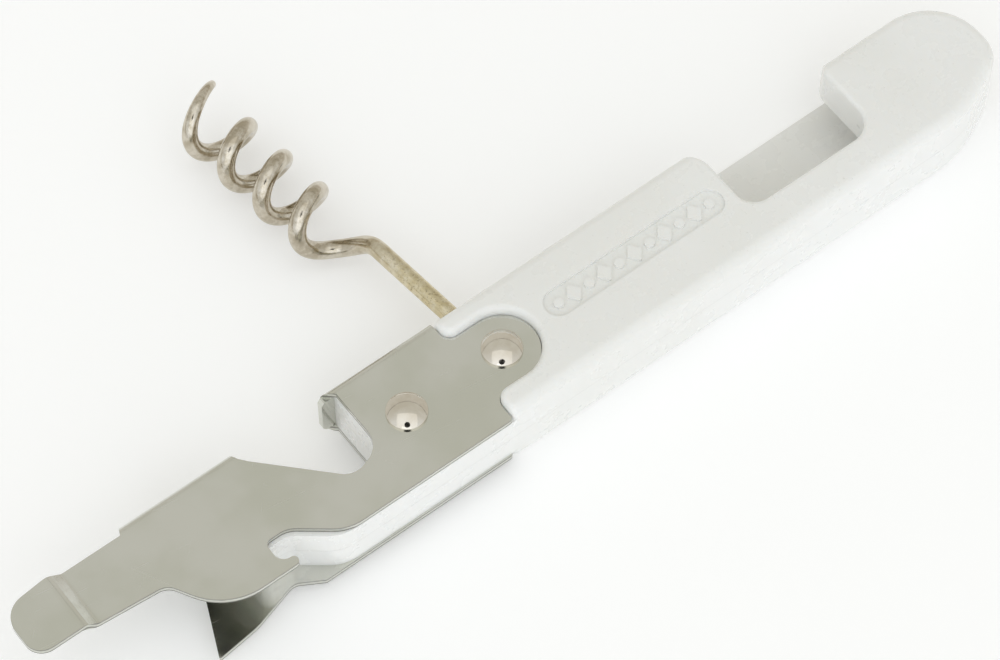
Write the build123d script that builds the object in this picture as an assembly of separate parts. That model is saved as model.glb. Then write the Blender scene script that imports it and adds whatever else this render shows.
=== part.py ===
"""Pocket lever corkscrew and opener: a steel channel riveted on a moulded handle, with a folding worm.

Frame: millimetres.  The origin is the middle of the flat face that the tool rests on, under the handle.
+X runs along the handle, +Y is the open side of the worm's channel, +Z is parallel to the worm's pivot.
Every shape is drawn about the pivot at mid-thickness, and moved into the frame when it is written.
"""
from build123d import *
import os
from math import acos, cos, pi, radians, sin, sqrt, tan

# Handle moulding
HANDLE_THICK = 16.4
HANDLE_LOW = -11.6
HANDLE_TOP_START = 10.7
HANDLE_TOP_END = 11.2
HANDLE_START = -6.4
HANDLE_END = 104.0
HEEL = 91.2
CROWN_FLAT = 5.0
CROWN_DROP = 0.35
EDGE_ROUND = 2.0
RIM_ROUND = 0.8
SEAT_ROUND = 1.1
CHANNEL_WIDE = 12.9
CHANNEL_START = 14.0
CHANNEL_END = 90.0
CHANNEL_FLOOR = -6.4
SLOT_WIDE = 3.9
EYE_ROOM = 5.6
WINDOW_LEFT = 49.2
WINDOW_RIGHT = 76.5
WINDOW_FLOOR = -4.4
EAR_PLAY = 0.1
BADGE_START = 9.6
BADGE_END = 47.0
BADGE_Y = 0.6
BADGE_WIDE = 5.4
BADGE_DEPTH = 0.65
BADGE_MARKS = 11

# Tongue of the moulding, between the two plates
TONGUE_END = -53.5
TONGUE_SHELF = -6.1

# Steel channel
SHEET = 1.2
FRAME_THICK = 12.8
WEB_Y = 11.6
BEND_OUTER = 1.85
PLATE_RIGHT = -6.5
PLATE_LOW = -11.6
FAR_LOW = -11.9
EAR_RADIUS = 6.5
EAR_FILLET = 2.2
NOTCH_FACE = -26.8
NOTCH_TOP = -46.7
LIP_START = -28.8
LIP_END = -29.4
WEB_BREAK = -47.4
WEB_LEFT = -69.0
FAR_LEFT = -62.4
JOG_START = -81.2
JOG_END = -83.7
JOG_RISE = 2.1
TAB_END = -93.0
CLAW_TIP = (-67.1, -12.9)

# Rivets
RIVET_PITCH = 19.6
HEAD_ACROSS = 7.1
HEAD_RISE = 1.6
HEAD_ROUND = 1.15
BARREL = 4.0
STUD = 2.6
HOLE_PLAY = 0.05

# Worm
WIRE = 3.2
EYE_PLAY = 0.08
EYE_MOUTH = 50.0
NECK_BEND = 3.0
HELIX_RADIUS = 4.45
PITCH = 9.05
WORM_ANGLE = 96.5
SHANK_SIDE = 0.95
BEND_AT = 31.0
BEND_RUN = 3.0
BEND_TURN = 0.24
COIL_AT = 37.5
COIL_RUN = 6.0
OPEN_AT = 68.0
OPEN_RUN = 4.0
OPEN_TURN = 0.27
FLARE_AT = 66.0
FLARE = 1.0
TAPER_AT = 70.0
WORM_REACH = 74.6
TIP_RADIUS = 0.75

HALF = FRAME_THICK / 2
INSIDE = HALF - SHEET
REST = HANDLE_THICK / 2
BEND_Y = WEB_Y - BEND_OUTER
BEND_Z = HALF - BEND_OUTER
MARGIN = 30.0
RESTING_X = 48.0


def outline(corners):
    """Closed face through the corners (x, y, radius); a corner with a radius is a tangent arc."""
    spans = []
    for i, (x, y, r) in enumerate(corners):
        back = corners[i - 1]
        ahead = corners[(i + 1) % len(corners)]
        a = Vector(back[0] - x, back[1] - y).normalized()
        b = Vector(ahead[0] - x, ahead[1] - y).normalized()
        corner = Vector(x, y)
        if r == 0:
            spans.append((corner, None, corner))
            continue
        inner = acos(a.dot(b))
        cut = r / tan(inner / 2)
        rise = r / sin(inner / 2) - r
        spans.append((corner + a * cut, corner + (a + b).normalized() * rise, corner + b * cut))
    edges = []
    for i, (start, mid, stop) in enumerate(spans):
        if mid is not None:
            edges.append(Edge.make_three_point_arc(start, mid, stop))
        after = spans[(i + 1) % len(spans)][0]
        if (after - stop).length > 1e-6:
            edges.append(Edge.make_line(stop, after))
    return Face(Wire(edges))


def prism(face, low, high):
    """Prism of an XY outline between two heights."""
    return Solid.extrude(Pos(0, 0, low) * face, Vector(0, 0, high - low))


# ---------------------------------------------------------------- steel channel

NOTCH = [(NOTCH_FACE, -2.2, 4.5), (-33.3, -4.4, 3.8), (-45.6, 8.35, 9.0)]

EAR_SIDE = [
    (PLATE_RIGHT, -EAR_RADIUS, EAR_FILLET),
    (EAR_RADIUS, -EAR_RADIUS, EAR_RADIUS),
    (EAR_RADIUS, EAR_RADIUS, EAR_RADIUS),
    (PLATE_RIGHT, EAR_RADIUS, EAR_FILLET),
    (PLATE_RIGHT, BEND_Y, 0),
    (NOTCH_FACE, BEND_Y, 0),
]


def near_outline():
    """Near plate up to its bend: ear, notch, finger, tab, hook and gullet."""
    return outline([(PLATE_RIGHT, PLATE_LOW, 0.7)] + EAR_SIDE + NOTCH + [
        (NOTCH_TOP, BEND_Y, 0),
        (-84.5, BEND_Y, 8.0),
        (TAB_END, 8.9, 4.4),
        (TAB_END, -1.05, 3.2),
        (-81.5, -1.05, 6.0),
        (-68.9, -2.07, 3.0),
        (-63.4, -11.65, 11.4),
        (-49.35, -11.65, 0.8),
        (-49.35, -10.0, 0.8),
        (-52.1, -10.0, 1.9),
        (-52.1, -5.4, 1.2),
        (-47.7, -5.4, 4.5),
        (-39.76, PLATE_LOW, 8.0),
    ])


def far_outline():
    """Far plate up to its bend: ear, notch, hollow back edge, claw and step."""
    return outline([(PLATE_RIGHT, FAR_LOW, 0.7)] + EAR_SIDE + NOTCH + [
        (NOTCH_TOP, BEND_Y, 0),
        (FAR_LEFT, BEND_Y, 0),
        (-62.2, -1.6, 10.0),
        (CLAW_TIP[0], CLAW_TIP[1], 0.25),
        (-58.8, -11.9, 12.0),
        (-49.7, -9.15, 2.6),
        (-45.0, FAR_LOW, 0.6),
    ])


def strip_with_tab():
    """Sheet of the near plate with the joggle that lifts the tab, as wide as the plate."""
    low, high = INSIDE, HALF
    run = [
        (PLATE_RIGHT + MARGIN, low),
        (PLATE_RIGHT + MARGIN, high),
        (JOG_START, high),
        (JOG_END, high + JOG_RISE),
        (TAB_END - MARGIN, high + JOG_RISE),
        (TAB_END - MARGIN, low + JOG_RISE),
        (JOG_END - 0.5, low + JOG_RISE),
        (JOG_START - 0.5, low),
    ]
    section = outline([(x, z, r) for (x, z), r in zip(run, (0, 0, 1.0, 2.2, 0, 0, 1.0, 2.2))])
    return Pos(0, MARGIN, 0) * (Rot(90, 0, 0) * Solid.extrude(section, Vector(0, 0, 2 * MARGIN)))


def bent_stock():
    """Web and both bends of the channel at full length, before its notch is cut."""
    outer = outline([
        (BEND_Y, -HALF, 0), (WEB_Y, -HALF, BEND_OUTER), (WEB_Y, HALF, BEND_OUTER), (BEND_Y, HALF, 0)])
    inner_r = BEND_OUTER - SHEET
    face_y = WEB_Y - SHEET
    inner = outline([
        (BEND_Y, -INSIDE, 0), (face_y, -INSIDE, inner_r), (face_y, INSIDE, inner_r), (BEND_Y, INSIDE, 0)])
    section = outer - inner
    length = PLATE_RIGHT - WEB_LEFT + 4
    body = extrude(section, length)
    return Pos(WEB_LEFT - 4, 0, 0) * (Rot(0, 90, 0) * (Rot(0, 0, 90) * body))


def side_cut(corners, low, high):
    """Prism of an XZ outline along Y."""
    face = outline(corners)
    solid = Solid.extrude(face, Vector(0, 0, high - low))
    return Pos(0, high, 0) * (Rot(90, 0, 0) * solid)


def opener_channel():
    """One pressing: near plate, far plate, and the web that joins them on both sides of the notch."""
    near = strip_with_tab() & prism(near_outline(), INSIDE - 1, HALF + JOG_RISE + 1)
    far = prism(far_outline(), -HALF, -INSIDE)
    lip = [(PLATE_RIGHT, BEND_Y, 0), (PLATE_RIGHT, WEB_Y + 1, 0), (LIP_START, WEB_Y + 1, 0),
           (LIP_START, WEB_Y, 0), (NOTCH_FACE, BEND_Y, 0)]
    heel_near = [(NOTCH_TOP, BEND_Y, 0), (WEB_BREAK, WEB_Y, 0), (WEB_BREAK, WEB_Y + 1, 0),
                 (WEB_LEFT, WEB_Y + 1, 0), (WEB_LEFT, WEB_Y, 0), (WEB_LEFT - 0.8, BEND_Y, 0)]
    heel_far = [(NOTCH_TOP, BEND_Y, 0), (WEB_BREAK, WEB_Y, 0), (WEB_BREAK, WEB_Y + 1, 0),
                (FAR_LEFT - 0.6, WEB_Y + 1, 0), (FAR_LEFT - 0.6, WEB_Y, 0), (FAR_LEFT, BEND_Y, 0)]
    web_right = [(PLATE_RIGHT, -BEND_Z, 0), (PLATE_RIGHT, BEND_Z, 0), (LIP_START, BEND_Z, 0.3),
                 (LIP_END, BEND_Z - 0.9, 0.4), (LIP_END, 0.9 - BEND_Z, 0.4), (LIP_START, -BEND_Z, 0.3)]
    web_left = [(WEB_BREAK, -BEND_Z, 0), (WEB_BREAK, BEND_Z, 0), (WEB_LEFT, BEND_Z, 0),
                (FAR_LEFT - 0.6, -BEND_Z, 0)]
    stock = bent_stock()
    parts = [near, far]
    for shape in (lip, heel_near):
        parts.append(stock & prism(outline(shape), BEND_Z, HALF + 1))
    for shape in (lip, heel_far):
        parts.append(stock & prism(outline(shape), -HALF - 1, -BEND_Z))
    for shape in (web_right, web_left):
        parts.append(stock & side_cut(shape, BEND_Y, WEB_Y + 1))
    body = parts[0]
    for piece in parts[1:]:
        body = body + piece
    for x in (0, -RIVET_PITCH):
        body = body - Pos(x, 0, 0) * Cylinder(BARREL / 2 + HOLE_PLAY, FRAME_THICK + 2)
    return body.clean()


# ---------------------------------------------------------------- handle moulding

def handle_block():
    """Solid of the handle alone: its side outline, with both faces falling away from a flat band."""
    side = outline([
        (HANDLE_START, HANDLE_LOW, 0),
        (HEEL, HANDLE_LOW, 22.0),
        (HANDLE_END, -5.5, 6.5),
        (HANDLE_END, HANDLE_TOP_END, 10.9),
        (HANDLE_START, HANDLE_TOP_START, 0),
    ])
    edge_y = 13.0
    flat = Vector(0, CROWN_FLAT, REST)
    brow = Vector(0, (CROWN_FLAT + edge_y) / 2, REST - CROWN_DROP / 4)
    rim = Vector(0, edge_y, REST - CROWN_DROP)
    edges = []
    for sy, sz in ((1, 1), (1, -1), (-1, -1), (-1, 1)):
        points = [Vector(0, p.Y * sy, p.Z * sz) for p in (flat, brow, rim)]
        if sy * sz < 0:
            points.reverse()
        edges.append(Edge.make_three_point_arc(*points))
    for i in range(4):
        edges.append(Edge.make_line(edges[i] @ 1, edges[(i + 1) % 4] @ 0))
    section = Face(Wire(edges))
    bar = Pos(HANDLE_START, 0, 0) * Solid.extrude(section, Vector(HANDLE_END - HANDLE_START + 1, 0, 0))
    body = bar & prism(side, -REST - 1, REST + 1)
    rims = [e for e in body.edges() if abs(e.center().Z) > REST - 1 and e.center().X > HANDLE_START + 0.1]
    return fillet(rims, EDGE_ROUND)


def tongue():
    """Plate-thick core of the moulding that fills the steel channel as far as the gullet."""
    side = outline(NOTCH + [
        (NOTCH_TOP, WEB_Y - SHEET, 0),
        (TONGUE_END, WEB_Y - SHEET, 0),
        (TONGUE_END, TONGUE_SHELF, 1.6),
        (-48.1, TONGUE_SHELF, 4.0),
        (-41.1, HANDLE_LOW, 8.0),
        (HANDLE_START + 2, HANDLE_LOW, 0),
        (HANDLE_START + 2, WEB_Y - SHEET, 0),
        (NOTCH_FACE, WEB_Y - SHEET, 0),
    ])
    core = prism(side, -INSIDE, INSIDE)
    tops = [e for e in core.edges()
            if e.center().Y > WEB_Y - SHEET - 0.01 and abs(abs(e.center().Z) - INSIDE) < 0.01]
    return fillet(tops, BEND_OUTER - SHEET + 0.1)


def ear_seat(low, high):
    """Pocket in a face of the handle round the ear of a plate."""
    r = EAR_RADIUS + EAR_PLAY
    start = HANDLE_START
    side = outline([
        (start - 4, -9.0, 0), (start, -9.0, 0), (start, -r, EAR_FILLET - EAR_PLAY),
        (r, -r, r), (r, r, r),
        (start, r, EAR_FILLET - EAR_PLAY), (start, 9.0, 0), (start - 4, 9.0, 0),
    ])
    return prism(side, low, high)


def trough(stop, low, high):
    """Length of the wide channel, open at the top, with a rounded end at X = stop."""
    return prism(outline([
        (CHANNEL_START, 20, 0), (CHANNEL_START, CHANNEL_FLOOR, 1.5), (stop, CHANNEL_FLOOR, 4.6),
        (stop, 20, 0)]), low, high)


def worm_room():
    """Eye room, shank slot and wide channel, whose near half stops at the hook beyond the window."""
    eye = prism(outline([
        (-EYE_ROOM, 20, 0), (-EYE_ROOM, -EYE_ROOM, EYE_ROOM), (CHANNEL_START + 2, -EYE_ROOM, 0),
        (CHANNEL_START + 2, 20, 0)]), -SLOT_WIDE / 2, SLOT_WIDE / 2)
    far_half = trough(CHANNEL_END, -CHANNEL_WIDE / 2, 0)
    near_half = trough(WINDOW_RIGHT, 0, CHANNEL_WIDE / 2)
    return eye + far_half + near_half


def badge():
    """Sunk panel on the near face with a row of raised lozenges and dots."""
    wide = BADGE_WIDE / 2
    panel = outline([
        (BADGE_START, BADGE_Y - wide, wide - 0.01), (BADGE_END, BADGE_Y - wide, wide - 0.01),
        (BADGE_END, BADGE_Y + wide, wide - 0.01), (BADGE_START, BADGE_Y + wide, wide - 0.01)])
    cut = prism(panel, REST - BADGE_DEPTH, REST + 1)
    step = (BADGE_END - BADGE_START - BADGE_WIDE) / (BADGE_MARKS - 1)
    for i in range(BADGE_MARKS):
        x = BADGE_START + wide + i * step
        if i % 2:
            mark = outline([(x - 1.5, BADGE_Y, 0.3), (x, BADGE_Y - 1.9, 0.3),
                            (x + 1.5, BADGE_Y, 0.3), (x, BADGE_Y + 1.9, 0.3)])
        else:
            mark = Pos(x, BADGE_Y, 0) * Face(Wire.make_circle(0.9))
        cut = cut - prism(mark, REST - BADGE_DEPTH - 0.1, REST - 0.1)
    return cut


def window():
    """Cut through the near wall, open at the top, with flared top corners."""
    top = HANDLE_TOP_END
    side = outline([
        (WINDOW_LEFT - 12, top + 12, 0), (WINDOW_LEFT - 12, top + 1.6, 0), (WINDOW_LEFT, top + 0.1, 5.6),
        (WINDOW_LEFT, WINDOW_FLOOR, 3.5), (WINDOW_RIGHT, WINDOW_FLOOR, 4.4),
        (WINDOW_RIGHT, top + 0.1, 3.2), (WINDOW_RIGHT + 14, top + 1.6, 0), (WINDOW_RIGHT + 14, top + 12, 0),
    ])
    return prism(side, 0, REST + 1)


def handle_body():
    """The whole moulding: handle, tongue, ear seats, worm channel, window, badge and rivet holes."""
    body = handle_block()
    body = body - ear_seat(INSIDE, REST + 1) - ear_seat(-REST - 1, -INSIDE)
    lips = [e for e in body.edges()
            if abs(e.center().Z) > REST - 1 and e.center().X < EAR_RADIUS + 0.5
            and abs(e.center().Y) < 8.8 and e.center().X > HANDLE_START - 0.1]
    body = fillet(lips, SEAT_ROUND)
    body = body + tongue()
    body = body - worm_room()
    body = body - window()
    rims = [e for e in body.edges() if e.center().Z > CHANNEL_WIDE / 2 + 0.4 and e.length < 50
            and abs(e.tangent_at(0.5).Z) < 0.9
            and WINDOW_LEFT - 4 < e.center().X < WINDOW_RIGHT + 5 and e.center().Y > WINDOW_FLOOR - 1]
    body = fillet(rims, RIM_ROUND)
    body = body - badge()
    for x in (0, -RIVET_PITCH):
        body = body - Pos(x, 0, 0) * Cylinder(BARREL / 2 + HOLE_PLAY, HANDLE_THICK + 2)
    return body


# ---------------------------------------------------------------- rivets

def head(x, side):
    """Rivet head seated on one outer face of the channel: a button with a broadly rounded rim."""
    button = Pos(0, 0, HEAD_RISE / 2) * Cylinder(HEAD_ACROSS / 2, HEAD_RISE)
    button = fillet(button.edges().sort_by(Axis.Z)[-1], HEAD_ROUND)
    if side < 0:
        button = Rot(180, 0, 0) * button
    return Pos(x, 0, side * HALF) * button


def rivet_barrel(x):
    """Lower half of a two-piece rivet: a tube through the whole sandwich with a domed far head."""
    tube_len = FRAME_THICK - 0.6
    tube = Cylinder(BARREL / 2, tube_len) - Cylinder(STUD / 2, tube_len + 2)
    tube = Pos(x, 0, -HALF + tube_len / 2) * tube
    return tube + head(x, -1)


def rivet_stud(x):
    """Upper half: a solid pin pressed into the barrel, with a domed near head."""
    pin_len = FRAME_THICK - 0.4
    pin = Pos(x, 0, HALF - pin_len / 2) * Cylinder(STUD / 2, pin_len)
    return pin + head(x, 1)


# ---------------------------------------------------------------- worm

def ramp(s, start, length):
    """Integral of a smooth step that rises from 0 to 1 between start and start + length."""
    t = (s - start) / length
    if t <= 0:
        return 0.0
    if t >= 1:
        return length * (t - 0.5)
    return length * (t ** 3 - t ** 4 / 2)


def coil_turn(s):
    """Angle that the wire has wound round the coil's axis at the distance s from the pivot."""
    full = 2 * pi / PITCH
    return (BEND_TURN * ramp(s, BEND_AT, BEND_RUN) + (full - BEND_TURN) * ramp(s, COIL_AT, COIL_RUN)
            - OPEN_TURN * ramp(s, OPEN_AT, OPEN_RUN))


def wire_point(s):
    """Centre of the wire: it leaves the shank, winds round the coil's axis and opens a little at the tip."""
    along = Vector(cos(radians(WORM_ANGLE)), sin(radians(WORM_ANGLE)), 0)
    across = Vector(along.Y, -along.X, 0)
    flare = max(0.0, (s - FLARE_AT) / (WORM_REACH - FLARE_AT)) ** 2 * FLARE
    r = HELIX_RADIUS + flare
    turn = coil_turn(s)
    return along * s + across * (r * cos(turn) + SHANK_SIDE - HELIX_RADIUS) - Vector(0, 0, 1) * (r * sin(turn))


def wire_heading(s):
    """Unit tangent of the wire's centre line."""
    return (wire_point(s + 1e-3) - wire_point(s - 1e-3)).normalized()


def coil_edge(start, stop, count):
    """Smooth centre line between two distances from the pivot."""
    points = [wire_point(start + (stop - start) * i / count) for i in range(count + 1)]
    return Edge.make_spline(points, tangents=(wire_heading(start), wire_heading(stop)))


def worm():
    """One wire: an eye closed round the rivet, a neck bend, the shank, the coil and its tapered tip."""
    along = Vector(cos(radians(WORM_ANGLE)), sin(radians(WORM_ANGLE)), 0)
    across = Vector(along.Y, -along.X, 0)
    eye_r = BARREL / 2 + EYE_PLAY + WIRE / 2
    neck_y = SHANK_SIDE - NECK_BEND
    neck_x = sqrt((eye_r + NECK_BEND) ** 2 - neck_y ** 2)

    def spot(x, y):
        return along * x + across * y

    def on_eye(degrees):
        return spot(eye_r * cos(radians(degrees)), eye_r * sin(radians(degrees)))

    join = spot(neck_x, neck_y) * (eye_r / (eye_r + NECK_BEND))
    out = (spot(neck_x, SHANK_SIDE) + join) * 0.5 - spot(neck_x, neck_y)
    mid = spot(neck_x, neck_y) + out.normalized() * NECK_BEND
    loop = Edge.make_three_point_arc(on_eye(EYE_MOUTH), on_eye(EYE_MOUTH + 145), join)
    neck = Edge.make_three_point_arc(join, mid, spot(neck_x, SHANK_SIDE))
    shank = Edge.make_line(spot(neck_x, SHANK_SIDE), wire_point(BEND_AT))
    coil = coil_edge(BEND_AT, TAPER_AT, 100)
    path = Wire([loop, neck, shank, coil])
    start = Wire.make_circle(WIRE / 2, Plane(origin=path @ 0, z_dir=path % 0))
    stem = Solid.sweep(Face(start), path)
    run = coil_edge(TAPER_AT, WORM_REACH, 16)
    thick = Wire.make_circle(WIRE / 2, Plane(origin=run @ 0, z_dir=run % 0))
    thin = Wire.make_circle(TIP_RADIUS, Plane(origin=run @ 1, z_dir=run % 1))
    point = Solid.sweep_multi([thick, thin], Wire([run]))
    skin = []
    for piece in (stem, point):
        for face in piece.faces():
            inside_cap = face.geom_type == GeomType.PLANE and \
                (face.bounding_box().center() - run @ 0).length < 0.2
            if not inside_cap:
                skin.append(face)
    return Solid(Shell(skin))


NODES = {
    "opener_channel": opener_channel,
    "handle_body": handle_body,
    "pivot_rivet_barrel": lambda: rivet_barrel(0),
    "pivot_rivet_stud": lambda: rivet_stud(0),
    "frame_rivet_barrel": lambda: rivet_barrel(-RIVET_PITCH),
    "frame_rivet_stud": lambda: rivet_stud(-RIVET_PITCH),
    "worm": worm,
}

os.makedirs("parts", exist_ok=True)
for name, build in NODES.items():
    part = Pos(-RESTING_X, 0, REST) * build()
    part.label = name
    print(name, part.is_valid, round(part.volume, 1))
    export_step(part, f"parts/{name}.step")
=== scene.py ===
import math

import bpy
import numpy as np
from mathutils import Matrix


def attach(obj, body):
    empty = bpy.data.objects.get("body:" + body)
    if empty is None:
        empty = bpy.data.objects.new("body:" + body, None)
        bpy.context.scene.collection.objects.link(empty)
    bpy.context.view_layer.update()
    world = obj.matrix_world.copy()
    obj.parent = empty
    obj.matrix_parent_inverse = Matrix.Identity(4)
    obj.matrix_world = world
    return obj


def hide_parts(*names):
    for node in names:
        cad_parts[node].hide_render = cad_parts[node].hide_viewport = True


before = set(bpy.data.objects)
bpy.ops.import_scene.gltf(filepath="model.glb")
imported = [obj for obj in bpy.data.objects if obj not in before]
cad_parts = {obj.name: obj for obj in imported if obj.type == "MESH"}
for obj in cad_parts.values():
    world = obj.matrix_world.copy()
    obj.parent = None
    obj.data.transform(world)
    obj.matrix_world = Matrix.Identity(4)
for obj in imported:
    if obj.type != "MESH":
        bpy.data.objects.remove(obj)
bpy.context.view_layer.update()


# ---------------------------------------------------------------------------
# Handle: one moulding in white ABS, with the worm channel, the hook at its end
# and the thinner tongue that the steel channel is riveted over. It is moulded
# in two halves of a tool, which leaves a faint witness line round mid-thickness.
# ---------------------------------------------------------------------------

def new_finish(name, colour, metallic, roughness):
    """A material whose Principled shader holds the values that are even all over the surface."""
    material = bpy.data.materials.new(name)
    material.use_nodes = True
    shader = material.node_tree.nodes["Principled BSDF"]
    shader.inputs["Base Color"].default_value = (*colour, 1)
    shader.inputs["Metallic"].default_value = metallic
    shader.inputs["Roughness"].default_value = roughness
    return material.node_tree, shader


def add(tree, kind, settings=None, **sockets):
    """A node of this kind. An underscore in a socket's name is a space, and a leading one marks its number."""
    node = tree.nodes.new("ShaderNode" + kind)
    for key, value in (settings or {}).items():
        setattr(node, key, value)
    for key, value in sockets.items():
        place = int(key[1:]) if key.startswith("_") else key.replace("_", " ")
        if isinstance(value, bpy.types.NodeSocket):
            tree.links.new(value, node.inputs[place])
        else:
            node.inputs[place].default_value = value
    return node


def millimetres(tree, stretch=(1, 1, 1), turn=(0, 0, 0)):
    """Where the surface lies, in millimetres of the object's own frame, turned and then stretched."""
    place = add(tree, "TexCoord").outputs["Object"]
    turned = add(tree, "Mapping", {"vector_type": "POINT"}, Vector=place, Rotation=turn,
                 Scale=(1000, 1000, 1000))
    return add(tree, "VectorMath", {"operation": "MULTIPLY"},
               _0=turned.outputs[0], _1=stretch).outputs[0]


def noise(tree, where, scale, detail=2.0, roughness=0.5):
    """Soft noise whose lumps are about 1 / scale of the coordinates' unit across."""
    return add(tree, "TexNoise", Vector=where, Scale=scale, Detail=detail, Roughness=roughness).outputs[0]


def band(tree, value, low, high, to_low=0.0, to_high=1.0):
    """The value carried smoothly from the first span to the second, and held at its ends."""
    return add(tree, "MapRange", {"interpolation_type": "SMOOTHSTEP"}, _0=value, _1=low, _2=high,
               _3=to_low, _4=to_high).outputs[0]


def sums(tree, operation, first, second):
    """One sum of two numbers."""
    return add(tree, "Math", {"operation": operation}, _0=first, _1=second).outputs[0]


def blend_colours(tree, amount, first, second):
    """The first colour where the amount is 0 and the second where it is 1."""
    mix = add(tree, "Mix", {"data_type": "RGBA"})
    for socket, value in ((mix.inputs[0], amount), (mix.inputs[6], first), (mix.inputs[7], second)):
        if isinstance(value, bpy.types.NodeSocket):
            tree.links.new(value, socket)
        else:
            socket.default_value = value if socket is mix.inputs[0] else (*value, 1)
    return mix.outputs[2]


def relief(tree, shader, layers):
    """Bump layers laid over each other: pairs of a height, 0 to 1, and its depth in metres."""
    normal = None
    for height, depth in layers:
        bump = add(tree, "Bump", Height=height, Distance=depth, Strength=1.0)
        if normal is not None:
            tree.links.new(normal, bump.inputs["Normal"])
        normal = bump.outputs[0]
    tree.links.new(normal, shader.inputs["Normal"])


def scratches(tree, turn, across, along, limit):
    """Hairlines, 0 or 1: the crest of a noise drawn out along one direction."""
    lines = noise(tree, millimetres(tree, (along, across, across), (0, 0, turn)), 1.0, 3.0, 0.6)
    return band(tree, lines, limit, limit + 0.03)


def white_abs():
    """Satin white moulding: cloudy tint, tool texture, scuffs from use and the witness line of the tool."""
    tree, shader = new_finish("white_abs", (0.83, 0.83, 0.80), 0.0, 0.30)
    shader.inputs["IOR"].default_value = 1.52
    shader.inputs["Coat Weight"].default_value = 0.25
    shader.inputs["Coat Roughness"].default_value = 0.14
    shader.inputs["Subsurface Weight"].default_value = 0.2
    shader.inputs["Subsurface Radius"].default_value = (1.0, 0.9, 0.8)
    shader.inputs["Subsurface Scale"].default_value = 0.0015
    here = millimetres(tree)
    cloud = noise(tree, here, 0.035, 3.0)
    colour = blend_colours(tree, band(tree, cloud, 0.35, 0.65), (0.845, 0.845, 0.815), (0.875, 0.877, 0.858))
    specks = band(tree, noise(tree, here, 2.6, 1.0), 0.735, 0.78)
    colour = blend_colours(tree, sums(tree, "MULTIPLY", specks, 0.35), colour, (0.55, 0.53, 0.48))
    height = add(tree, "SeparateXYZ", _0=here).outputs[2]
    off_middle = sums(tree, "ABSOLUTE", sums(tree, "SUBTRACT", height, 8.2), 0.0)
    witness = band(tree, off_middle, 0.03, 0.10, 1.0, 0.0)
    colour = blend_colours(tree, sums(tree, "MULTIPLY", witness, 0.30), colour, (0.50, 0.50, 0.48))
    tree.links.new(colour, shader.inputs["Base Color"])
    scuffs = sums(tree, "MAXIMUM", scratches(tree, 0.35, 2.4, 0.05, 0.73),
                  scratches(tree, -0.6, 1.9, 0.06, 0.74))
    gloss = band(tree, noise(tree, here, 0.16, 4.0, 0.6), 0.3, 0.7, 0.24, 0.33)
    gloss = sums(tree, "ADD", gloss, sums(tree, "MULTIPLY", scuffs, 0.12))
    tree.links.new(gloss, shader.inputs["Roughness"])
    relief(tree, shader, (
        (noise(tree, here, 0.11, 2.0), 6e-5),
        (noise(tree, here, 1.9, 2.0), 5e-6),
        (witness, 2.5e-5),
        (sums(tree, "SUBTRACT", 1.0, scuffs), 2e-6),
    ))


def dress(piece, name):
    """Puts the named material in every slot of a piece's mesh."""
    material = bpy.data.materials[name]
    for number in range(max(1, len(piece.data.materials))):
        if number < len(piece.data.materials):
            piece.data.materials[number] = material
        else:
            piece.data.materials.append(material)


white_abs()
dress(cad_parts["handle_body"], "white_abs")


# ---------------------------------------------------------------------------
# Opener channel: one pressing of 1.2 mm steel strip, folded to a U and bright
# plated. Its near side runs out to the jogged tab, and its far side to the claw.
# Painted shade: a dark band beside each face of a blanked edge, for the dark reflected rim and shadow gap.
# ---------------------------------------------------------------------------

DENTS = ((-117.5, 5.3, 0.32), (-102.0, 9.4, 0.30), (-94.4, 6.6, 0.36), (-57.6, 3.5, 0.20),
         (-72.4, 7.4, 0.18), (-84.3, -2.2, 0.16), (-56.2, -9.7, 0.20), (-110.2, -4.8, 0.16))


def edge_shade_bands(tree, off_middle):
    """Painted shade: two dark bands on a blanked edge, one beside each face of the sheet, from the height off
    its middle.
    """
    off = sums(tree, "ABSOLUTE", off_middle, 0.0)
    return sums(tree, "MULTIPLY", band(tree, off, 0.24, 0.38), band(tree, off, 0.75, 0.9, 1.0, 0.0))


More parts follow.
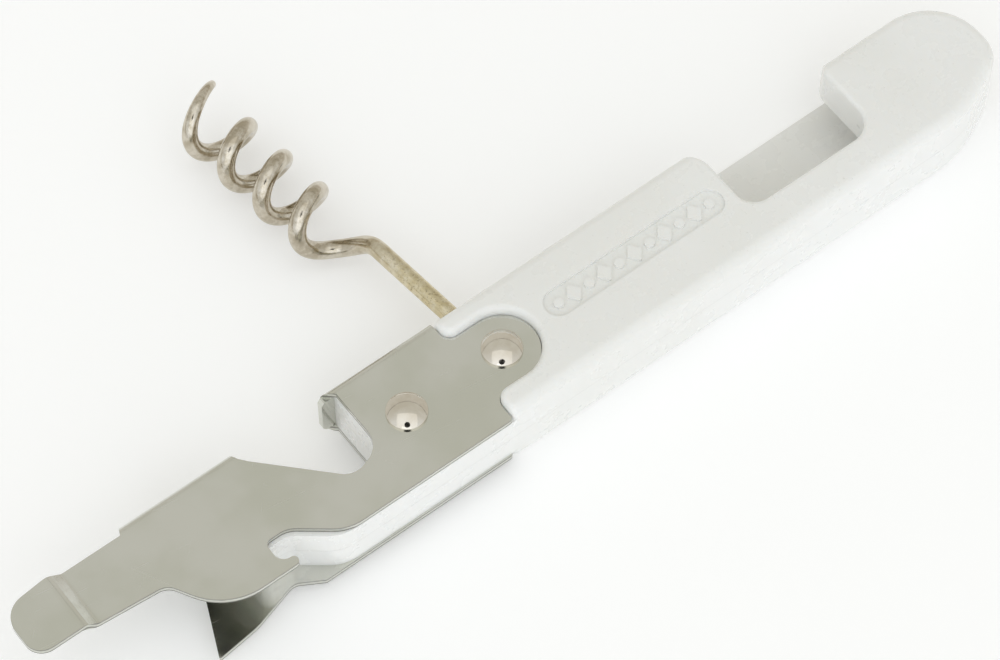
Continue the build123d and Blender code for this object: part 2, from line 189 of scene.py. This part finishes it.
def plated_steel():
    """Bright plate over rolled strip: faint roll lines, hairlines, a few dents, and painted shade bands on the
    blanked edges.
    """
    tree, shader = new_finish("plated_steel", (0.62, 0.62, 0.57), 1.0, 0.14)
    here = millimetres(tree)
    cloud = noise(tree, here, 0.07, 3.0)
    colour = blend_colours(tree, band(tree, cloud, 0.35, 0.68), (0.63, 0.635, 0.57), (0.69, 0.69, 0.645))
    parts = add(tree, "SeparateXYZ", _0=here)
    facing = add(tree, "SeparateXYZ", _0=add(tree, "TexCoord").outputs["Normal"])
    sideways = band(tree, sums(tree, "ABSOLUTE", facing.outputs[2], 0.0), 0.25, 0.55, 1.0, 0.0)
    on_web = band(tree, parts.outputs[1], 11.3, 11.5)
    blanked = sums(tree, "MULTIPLY", sideways, sums(tree, "SUBTRACT", 1.0, on_web))
    # Noise that wobbles the painted shade bands along the edge.
    shade_wobble = noise(tree, millimetres(tree, (1.6, 1.6, 0.2)), 1.0, 2.0)
    high = sums(tree, "ADD", parts.outputs[2], sums(tree, "MULTIPLY", shade_wobble, 0.2))
    jog = band(tree, parts.outputs[0], -131.7, -129.2, 2.1, 0.0)
    near_shade = edge_shade_bands(tree, sums(tree, "SUBTRACT", sums(tree, "SUBTRACT", high, 14.1), jog))
    far_shade = edge_shade_bands(tree, sums(tree, "SUBTRACT", high, 2.5))
    shade_band_mask = sums(tree, "MULTIPLY", blanked, sums(tree, "MAXIMUM", near_shade, far_shade))
    # Painted shade: the blanked edges darkened in bands, for the dark reflection at their rounded corners and
    # the shadow gap under the plate; the same mask also roughens them.
    colour = blend_colours(tree, sums(tree, "MULTIPLY", shade_band_mask, 0.75), colour, (0.16, 0.155, 0.14))
    tree.links.new(colour, shader.inputs["Base Color"])
    hairs = sums(tree, "MAXIMUM", scratches(tree, 0.15, 3.2, 0.05, 0.69),
                 scratches(tree, 1.1, 2.7, 0.06, 0.70))
    hairs = sums(tree, "MAXIMUM", hairs, scratches(tree, -0.8, 3.0, 0.08, 0.71))
    gloss = band(tree, noise(tree, here, 0.22, 4.0, 0.6), 0.3, 0.7, 0.10, 0.19)
    gloss = sums(tree, "ADD", gloss, sums(tree, "MULTIPLY", hairs, 0.14))
    gloss = sums(tree, "ADD", gloss, sums(tree, "MULTIPLY", shade_band_mask, 0.30))
    tree.links.new(gloss, shader.inputs["Roughness"])
    pitted = None
    for x, y, size in DENTS:
        away = add(tree, "VectorMath", {"operation": "DISTANCE"}, _0=here, _1=(x, y, 14.6)).outputs[1]
        dent = band(tree, away, size * 0.45, size * 1.5)
        pitted = dent if pitted is None else sums(tree, "MULTIPLY", pitted, dent)
    roll = noise(tree, millimetres(tree, (0.12, 2.2, 2.2)), 1.0, 3.0)
    relief(tree, shader, (
        (noise(tree, here, 0.09, 2.0), 8e-6),
        (noise(tree, here, 0.9, 2.0), 1.2e-6),
        (roll, 1.0e-6),
        (sums(tree, "SUBTRACT", 1.0, hairs), 1.5e-6),
        (pitted, 8.0e-6),
    ))


plated_steel()
dress(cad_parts["opener_channel"], "plated_steel")


# ---------------------------------------------------------------------------
# Rivets: two tubular rivets in polished nickel, one at the worm's pivot and one
# through the tongue. Each is a pin pressed into a barrel, and both of its heads
# are low domes with a short upright rim.
# ---------------------------------------------------------------------------

def skin(name, rings, first_pole, last_pole, along):
    """A closed surface: quads between neighbouring rings and a fan from each end ring to its pole.
    Along the rings it carries the given distances, and round them 0 to 1, as its UV map."""
    count, sides = rings.shape[:2]
    points = np.concatenate([rings.reshape(-1, 3), [first_pole], [last_pole]])
    ring, side = np.meshgrid(np.arange(count - 1), np.arange(sides), indexing="ij")
    after = (side + 1) % sides
    quads = np.stack([ring * sides + side, ring * sides + after,
                      (ring + 1) * sides + after, (ring + 1) * sides + side], -1).reshape(-1, 4)
    step = np.arange(sides)
    front = np.stack([np.full(sides, count * sides), (step + 1) % sides, step], -1)
    back = np.stack([np.full(sides, count * sides + 1), (count - 1) * sides + step,
                     (count - 1) * sides + (step + 1) % sides], -1)
    corners = points[quads]
    middle = points.mean(0)
    out = np.cross(corners[:, 2] - corners[:, 0], corners[:, 3] - corners[:, 1])
    volume = np.einsum("ij,ij->i", corners.mean(1) - middle, out).sum()
    s0, s1 = along[ring], along[ring + 1]
    r0, r1 = side / sides, (side + 1) / sides
    quad_uv = np.stack([np.stack([s0, r0], -1), np.stack([s0, r1], -1),
                        np.stack([s1, r1], -1), np.stack([s1, r0], -1)], 2).reshape(-1, 4, 2)
    fan_round = np.stack([(step + 0.5) / sides, (step + 1) / sides, step / sides], -1)
    front_uv = np.stack([np.full((sides, 3), along[0]), fan_round], -1)
    back_uv = np.stack([np.full((sides, 3), along[-1]), fan_round[:, [0, 2, 1]]], -1)
    if volume < 0:
        quads, quad_uv = quads[:, ::-1], quad_uv[:, ::-1]
        front, front_uv = front[:, ::-1], front_uv[:, ::-1]
        back, back_uv = back[:, ::-1], back_uv[:, ::-1]
    mesh = bpy.data.meshes.new(name)
    mesh.from_pydata(points.tolist(), [], quads.tolist() + front.tolist() + back.tolist())
    layer = mesh.uv_layers.new(name="lay")
    flat = np.concatenate([quad_uv.reshape(-1, 2), front_uv.reshape(-1, 2), back_uv.reshape(-1, 2)])
    layer.data.foreach_set("uv", flat.ravel().astype(np.float32))
    mesh.shade_smooth()
    mesh.set_sharp_from_angle(angle=math.radians(38))
    piece = bpy.data.objects.new(name, mesh)
    bpy.context.scene.collection.objects.link(piece)
    return piece


def lathe(name, radii, heights, centre, sides=96):
    """A profile of radii and heights turned about an upright axis; both of its ends lie on the axis."""
    angle = np.arange(sides) * 2 * math.pi / sides
    rings = np.stack([centre[0] + radii[1:-1, None] * np.cos(angle),
                      centre[1] + radii[1:-1, None] * np.sin(angle),
                      heights[1:-1, None] + 0 * angle], -1)
    poles = [(centre[0], centre[1], heights[end]) for end in (0, -1)]
    travelled = np.concatenate([[0], np.cumsum(np.hypot(np.diff(radii), np.diff(heights)))])
    return skin(name, rings, poles[0], poles[1], travelled[1:-1])


HEAD_RADIUS = 3.545e-3
HEAD_RISE = 1.6e-3
HEAD_RIM = 0.45e-3
EDGE_TURN = 0.12e-3


def dome(face, direction):
    """Half of a rivet head, from crown to plate: a circular arc, a tight turn and an upright rim."""
    radius, rise = HEAD_RADIUS - EDGE_TURN, HEAD_RISE - HEAD_RIM - 0.4 * EDGE_TURN
    ball = (radius ** 2 + rise ** 2) / (2 * rise)
    across = radius * np.sin(np.linspace(0, math.pi / 2, 26))
    height = HEAD_RISE - ball + np.sqrt(ball ** 2 - across ** 2)
    slope = math.asin(radius / ball)
    turn = np.linspace(slope, math.pi / 2, 7)[1:]
    edge_r = HEAD_RADIUS - EDGE_TURN * (1 - np.sin(turn))
    edge_h = height[-1] - EDGE_TURN * (math.cos(slope) - np.cos(turn))
    radii = np.concatenate([across, edge_r, [HEAD_RADIUS]])
    heights = np.concatenate([height, edge_h, [0.0]])
    return radii, face + direction * heights


def polished_nickel():
    """Rivet heads: mirror nickel, a little warm, with tiny dents from the setting tool."""
    tree, shader = new_finish("polished_nickel", (0.70, 0.655, 0.575), 1.0, 0.07)
    here = millimetres(tree)
    colour = blend_colours(tree, band(tree, noise(tree, here, 0.35, 3.0), 0.35, 0.65),
                           (0.66, 0.61, 0.525), (0.73, 0.69, 0.615))
    tree.links.new(colour, shader.inputs["Base Color"])
    gloss = band(tree, noise(tree, here, 0.9, 3.0), 0.35, 0.75, 0.05, 0.14)
    tree.links.new(gloss, shader.inputs["Roughness"])
    relief(tree, shader, (
        (noise(tree, here, 0.55, 2.0), 1.6e-5),
        (noise(tree, here, 3.0, 1.0), 1.0e-6),
    ))


polished_nickel()
PIN, BARREL = 1.3e-3, 2.0e-3
for stem, spot in (("pivot_rivet", (-0.048, 0.0)), ("frame_rivet", (-0.0676, 0.0))):
    head_r, head_z = dome(0.0146, 1)
    pin_r = np.concatenate([head_r, [PIN, PIN, PIN - 2e-4, 0]])
    pin_z = np.concatenate([head_z, [0.0146, 0.0024, 0.0022, 0.0022]])
    pin = lathe(stem + "_pin", pin_r, pin_z, spot)
    head_r, head_z = dome(0.0018, -1)
    barrel_r = np.concatenate([head_r, [BARREL, BARREL, PIN, PIN, 0]])
    barrel_z = np.concatenate([head_z, [0.0018, 0.0140, 0.0140, 0.0022, 0.0022]])
    barrel = lathe(stem + "_tube", barrel_r, barrel_z, spot)
    for piece, node in ((pin, stem + "_stud"), (barrel, stem + "_barrel")):
        dress(piece, "polished_nickel")
        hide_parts(node)
        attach(piece, "frame")


# ---------------------------------------------------------------------------
# Worm: one length of 3.2 mm hard wire, closed to an eye round the pivot rivet,
# bent to a straight shank and wound to a right-handed coil whose end is ground
# to a blunt point. Nickel plated; the plate has worn to a brassy tone on the shank.
# ---------------------------------------------------------------------------

WORM_TURN = math.radians(96.5)
PIVOT = np.array([-48.0, 0.0, 8.2])
COIL_RADIUS, COIL_PITCH, COIL_AXIS = 4.45, 9.05, -3.16
SHANK_SIDE, BEND_AT, REACH = 0.82, 28.9, 74.6
BEND_TURN = 0.24
WIRE_RADIUS = 1.6
EYE_RADIUS, NECK_RADIUS = 3.68, 3.0


def eased(s, start, length):
    """Integral of a smooth step that climbs from 0 to 1 between start and start + length."""
    t = np.clip((s - start) / length, 0, 1)
    return length * (t ** 3 - t ** 4 / 2) + np.maximum(s - start - length, 0)


def wire_line():
    """Centre of the wire as columns along the shank, across it and upwards, in millimetres.
    An arc about the rivet, an arc the other way, a straight run, then a coil whose turning
    starts and slows smoothly, whose radius grows from the shank's offset and opens near the point."""
    neck_y = SHANK_SIDE - NECK_RADIUS
    neck_x = math.sqrt((EYE_RADIUS + NECK_RADIUS) ** 2 - neck_y ** 2)
    lean = math.atan2(neck_y, neck_x)
    eye = np.linspace(math.radians(50), 2 * math.pi + lean, 110)[:-1]
    eye = np.stack([EYE_RADIUS * np.cos(eye), EYE_RADIUS * np.sin(eye), 0 * eye], -1)
    neck = np.linspace(math.pi + lean, math.pi / 2, 28)[:-1]
    neck = np.stack([neck_x + NECK_RADIUS * np.cos(neck), neck_y + NECK_RADIUS * np.sin(neck), 0 * neck], -1)
    run = np.linspace(neck_x, BEND_AT, 60)[:-1]
    run = np.stack([run, 0 * run + SHANK_SIDE, 0 * run], -1)
    s = np.linspace(BEND_AT, REACH, 1250)
    full = 2 * math.pi / COIL_PITCH
    turn = (BEND_TURN * eased(s, BEND_AT, 7.0) + (full - BEND_TURN) * eased(s, 37.2, 6.0)
            - 0.26 * eased(s, 68.7, 4.0))
    t = np.clip((s - BEND_AT) / 8.0, 0, 1)
    gather = (COIL_RADIUS + COIL_AXIS - SHANK_SIDE) * (1 - t * t * (3 - 2 * t))
    radius = COIL_RADIUS - gather + 1.4 * (np.maximum(s - 65.7, 0) / 9.6) ** 2
    coil = np.stack([s, radius * np.cos(turn) + COIL_AXIS, -radius * np.sin(turn)], -1)
    return np.concatenate([eye, neck, run, coil])


def wire():
    """The wire's surface: circles square to its centre line, thinning to the ground, rounded point."""
    line = wire_line()
    travelled = np.concatenate([[0], np.cumsum(np.linalg.norm(np.diff(line, axis=0), axis=1))])
    along = np.array([math.cos(WORM_TURN), math.sin(WORM_TURN), 0])
    across = np.array([along[1], -along[0], 0])
    middle = PIVOT + line[:, :1] * along + line[:, 1:2] * across + line[:, 2:] * np.array([0, 0, 1.0])
    heading = np.gradient(middle, axis=0)
    heading /= np.linalg.norm(heading, axis=1)[:, None]
    level = np.cross(np.array([0, 0, 1.0]), heading)
    level /= np.linalg.norm(level, axis=1)[:, None]
    upright = np.cross(heading, level)
    left = travelled[-1] - travelled
    ground = np.clip(1 - left / 18.0, 0, 1)
    radius = WIRE_RADIUS - 0.9 * ground ** 1.15
    radius = radius * np.sqrt(np.clip(1 - (1 - np.clip(left / 0.7, 0, 1)) ** 2, 0.004, 1))
    radius = radius * (1 - 0.10 * (1 - np.clip(travelled / 0.25, 0, 1)) ** 2)
    angle = np.arange(36) * 2 * math.pi / 36
    rings = middle[:, None] + radius[:, None, None] * (
        np.cos(angle)[None, :, None] * level[:, None] + np.sin(angle)[None, :, None] * upright[:, None])
    return skin("worm_coil", rings / 1000, middle[0] / 1000, middle[-1] / 1000, travelled / 100)


def worn_nickel():
    """Wire: drawing lines along it, grainy plate, warm grey on the coil and brassy on the shank."""
    tree, shader = new_finish("worn_nickel", (0.60, 0.56, 0.49), 1.0, 0.2)
    here = millimetres(tree)
    lay = add(tree, "UVMap", {"uv_map": "lay"}).outputs[0]
    far = add(tree, "SeparateXYZ", _0=lay).outputs[0]
    brassy = band(tree, far, 0.36, 0.56, 1.0, 0.0)
    patches = noise(tree, here, 0.45, 4.0, 0.65)
    cool = blend_colours(tree, band(tree, patches, 0.35, 0.65), (0.46, 0.405, 0.31), (0.66, 0.61, 0.52))
    warm = blend_colours(tree, band(tree, patches, 0.35, 0.65), (0.60, 0.515, 0.32), (0.72, 0.65, 0.475))
    colour = blend_colours(tree, brassy, cool, warm)
    grain = noise(tree, here, 2.2, 2.0, 0.6)
    specks = band(tree, grain, 0.57, 0.69)
    specks = sums(tree, "MULTIPLY", specks, band(tree, brassy, 0.0, 1.0, 0.25, 1.0))
    colour = blend_colours(tree, sums(tree, "MULTIPLY", specks, 0.55), colour, (0.24, 0.19, 0.11))
    tree.links.new(colour, shader.inputs["Base Color"])
    gloss = band(tree, patches, 0.3, 0.75, 0.10, 0.24)
    gloss = sums(tree, "ADD", gloss, sums(tree, "MULTIPLY", brassy, 0.10))
    gloss = sums(tree, "ADD", gloss, sums(tree, "MULTIPLY", specks, 0.15))
    tree.links.new(gloss, shader.inputs["Roughness"])
    stretched = add(tree, "VectorMath", {"operation": "MULTIPLY"}, _0=lay, _1=(9.0, 26.0, 1.0)).outputs[0]
    drawn = noise(tree, stretched, 1.0, 2.0)
    relief(tree, shader, (
        (drawn, 1.2e-5),
        (grain, 0.9e-5),
        (noise(tree, here, 0.5, 2.0), 3.0e-5),
    ))


worn_nickel()
worm = wire()
dress(worm, "worn_nickel")
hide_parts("worm")
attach(worm, "worm")


# ---------------------------------------------------------------------------
# Table, light and camera: a white table, a pale room that is brighter on the
# camera's side, one wide soft light overhead and one from the front, and a long
# lens looking down at sixty degrees with its dark hood behind it.
# ---------------------------------------------------------------------------

TURN, TILT = math.radians(37.3), math.radians(60)
right = np.array([math.cos(TURN), -math.sin(TURN), 0])
away = np.array([math.sin(TURN), math.cos(TURN), 0])
overhead = np.array([0, 0, 1.0])
look = away * math.cos(TILT) - overhead * math.sin(TILT)
rise = away * math.sin(TILT) + overhead * math.cos(TILT)
aim = PIVOT / 1000


def face_along(obj, place, side, top, back):
    """Puts an object at a place with its own axes along three directions."""
    matrix = np.eye(4)
    matrix[:3, 0], matrix[:3, 1], matrix[:3, 2], matrix[:3, 3] = side, top, back, place
    obj.matrix_world = Matrix(matrix.tolist())
    bpy.context.scene.collection.objects.link(obj)


lens = bpy.data.cameras.new("camera")
lens.lens, lens.sensor_width = 140.4, 36
lens.clip_start, lens.clip_end = 0.01, 30
camera = bpy.data.objects.new("camera", lens)
face_along(camera, aim - look * 0.650 - right * 0.000333 + rise * 0.006333, right, rise, -look)
bpy.context.scene.camera = camera


def soft_light(name, place, size, watts, colour):
    """A wide area light that looks at the tool."""
    light = bpy.data.lights.new(name, "AREA")
    light.shape, light.size, light.size_y = "RECTANGLE", size[0], size[1]
    light.energy, light.color = watts, colour
    back = np.array(place) - aim
    back /= np.linalg.norm(back)
    side = np.cross(away, back)
    side /= np.linalg.norm(side)
    face_along(bpy.data.objects.new(name, light), place, side, np.cross(back, side), back)


soft_light("overhead_light", aim + overhead * 1.0 - away * 0.35, (1.4, 1.1), 1.2, (1.0, 0.99, 0.96))
soft_light("front_light", aim - away * 1.2 + overhead * 0.7 + right * 0.2, (1.6, 1.0), 2.2, (0.95, 0.98, 1.0))

world = bpy.data.worlds.new("room")
world.use_nodes = True
tree = world.node_tree
heading = add(tree, "TexCoord").outputs["Generated"]


def facing(direction):
    """How far a ray of the room points along a direction, -1 to 1."""
    direction = direction / np.linalg.norm(direction)
    return add(tree, "VectorMath", {"operation": "DOT_PRODUCT"}, _0=heading, _1=tuple(direction)).outputs[1]


tent = blend_colours(tree, band(tree, facing(away), -0.7, 0.6), (1.02, 1.05, 1.08), (0.74, 0.73, 0.67))
wall = facing(overhead * math.cos(0.35) - away * math.sin(0.35))
walled = blend_colours(tree, band(tree, wall, 0.28, 0.33), (0.74, 0.72, 0.66), tent)
seam = sums(tree, "MULTIPLY", band(tree, wall, 0.295, 0.31), band(tree, wall, 0.312, 0.33, 1.0, 0.0))
tree.links.new(blend_colours(tree, seam, walled, (0.10, 0.09, 0.07)), tree.nodes["Background"].inputs[0])
tree.nodes["Background"].inputs[1].default_value = 0.92
bpy.context.scene.world = world

span = np.linspace(-3, 3, 61)
table_x, table_y = np.meshgrid(span, span, indexing="ij")
top = np.stack([table_x, table_y, 0 * table_x - 2e-5], -1).reshape(-1, 3)
cell, row = np.meshgrid(np.arange(60), np.arange(60), indexing="ij")
tiles = np.stack([cell * 61 + row, (cell + 1) * 61 + row, (cell + 1) * 61 + row + 1, cell * 61 + row + 1], -1)
sheet = bpy.data.meshes.new("table_top")
sheet.from_pydata(top.tolist(), [], tiles.reshape(-1, 4).tolist())
table = bpy.data.objects.new("table_top", sheet)
bpy.context.scene.collection.objects.link(table)
tree, shader = new_finish("white_table", (0.93, 0.93, 0.93), 0.0, 0.7)
shader.inputs["Emission Color"].default_value = (1, 1, 1, 1)
shader.inputs["Emission Strength"].default_value = 0.15
dress(table, "white_table")

hood = bpy.data.meshes.new("lens_hood")
angle = np.arange(48) * 2 * math.pi / 48
centre = aim - look * 0.70
disc = centre + 0.115 * (np.cos(angle)[:, None] * right + np.sin(angle)[:, None] * rise)
hood.from_pydata(disc.tolist(), [], [list(range(48))])
hood_piece = bpy.data.objects.new("lens_hood", hood)
bpy.context.scene.collection.objects.link(hood_piece)
hood_piece.visible_camera = False
new_finish("black_hood", (0.01, 0.01, 0.01), 0.0, 0.9)
dress(hood_piece, "black_hood")

bpy.context.scene.view_settings.view_transform = "Standard"
